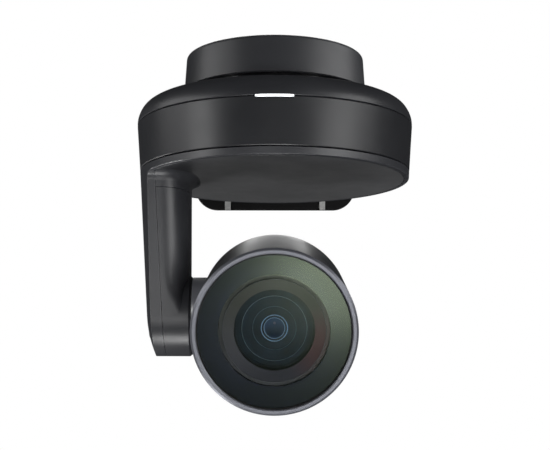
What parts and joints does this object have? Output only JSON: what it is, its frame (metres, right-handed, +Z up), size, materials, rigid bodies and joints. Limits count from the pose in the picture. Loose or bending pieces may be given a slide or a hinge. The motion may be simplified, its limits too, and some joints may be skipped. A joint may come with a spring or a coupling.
{
  "type": "pan tilt zoom camera",
  "caption": "Ceiling or wall hung pan-tilt-zoom camera: round base, turntable with a side arm and a cylindrical lens barrel, on an L-shaped bracket.",
  "frame": {"origin": "centre of the bracket's flat wall face", "axes": "+Y into the wall, +Z up, the lens looks towards -Y and the arm is on -X"},
  "size_m": [0.1519, 0.1745, 0.2055],
  "materials": {
    "shell": "satin moulded, fine texture",
    "neck_gloss": "polished",
    "bracket_paint": "powder coat",
    "strip_metal": "brushed",
    "steel": "machined",
    "brass": "turned",
    "pad_rubber": "matt",
    "light_guide": "diffusing, lit",
    "board": "solder mask",
    "chip": "moulded",
    "aluminium": "machined",
    "port_metal": "stamped",
    "port_gold": "plated",
    "gear_plastic": "moulded",
    "motor_can": "drawn",
    "inner_black": "matt",
    "bezel_finish": "satin metallic",
    "front_glass": "coated",
    "mask_gloss": "polished",
    "lens_glass": "coated",
    "sensor_silicon": "polished"
  },
  "bodies": {
    "base": {"mount_bracket": "bracket_paint", "bracket_strips": "strip_metal", "bracket_screw": "steel", "foot_shell": "shell", "foot_insert": "brass", "foot_pad": "pad_rubber", "neck_ring": "neck_gloss", "dome_shell": "shell", "side_wall": "shell", "led_bar": "light_guide", "led_board": "board", "chassis": "aluminium", "chassis_screws": "steel", "main_board": "board", "board_screws": "steel", "board_chips": "chip", "board_heat_sink": "aluminium", "port_block": "inner_black", "port_liners": "port_metal", "port_pins": "port_gold", "pan_bearing": "steel", "pan_motor": "motor_can"},
    "pan_head": {"turntable_arm": "shell", "underside_plate": "shell", "arm_cover": "shell", "boss_ring": "pad_rubber", "tilt_bearings": "steel", "tilt_motor": "motor_can", "pan_hub": "aluminium", "pan_retainer": "steel", "pan_gear": "gear_plastic", "hub_screws": "steel"},
    "pan_drive": {"pan_pinion": "brass"},
    "tilt_drive": {"tilt_pinion": "brass"},
    "lens_barrel": {"tilt_hub": "shell", "tilt_shaft": "steel", "tilt_gear": "gear_plastic", "barrel_shell": "shell", "bezel_ring": "bezel_finish", "front_glass": "front_glass", "mask_ring": "mask_gloss", "lens_housing": "inner_black", "baffle_cone": "inner_black", "front_lens": "lens_glass", "lens_cell": "inner_black", "stop_rings": "inner_black", "iris_plate": "inner_black", "guide_rods": "steel", "sensor_holder": "aluminium", "image_sensor": "sensor_silicon", "sensor_board": "board", "sensor_studs": "brass", "barrel_heat_sink": "aluminium", "rear_cap": "shell", "rear_cap_screws": "steel"},
    "zoom_group": {"zoom_carrier": "inner_black", "zoom_lens": "lens_glass"},
    "focus_group": {"focus_carrier": "inner_black", "focus_lens": "lens_glass"}
  },
  "joints": [
    {"name": "pan", "type": "hinge", "parent": "base", "child": "pan_head", "pos_m": [0, -0.0985, -0.036], "axis": [0, 0, 1], "range_deg": [-90, 90]},
    {"name": "tilt", "type": "hinge", "parent": "pan_head", "child": "lens_barrel", "pos_m": [0, -0.0985, -0.1108], "axis": [1, 0, 0], "range_deg": [-62.3, 77.7]},
    {"name": "zoom", "type": "slide", "parent": "lens_barrel", "child": "zoom_group", "axis": [0, -0.977, -0.213], "range_m": [-0.008, 0.004]},
    {"name": "focus", "type": "slide", "parent": "lens_barrel", "child": "focus_group", "axis": [0, -0.977, -0.213], "range_m": [-0.005, 0.005]},
    {"name": "pan_pinion_spin", "type": "hinge", "parent": "base", "child": "pan_drive", "pos_m": [0.0297, -0.0688, -0.0287], "axis": [0, 0, 1], "range_deg": [-545, 545]},
    {"name": "tilt_pinion_spin", "type": "hinge", "parent": "pan_head", "child": "tilt_drive", "pos_m": [-0.06, -0.0985, -0.0908], "axis": [1, 0, 0], "range_deg": [-320, 250]}
  ],
  "couplings": [
    {"joint": "pan_pinion_spin", "follows": "pan", "ratio": -6},
    {"joint": "tilt_pinion_spin", "follows": "tilt", "ratio": -4}
  ]
}
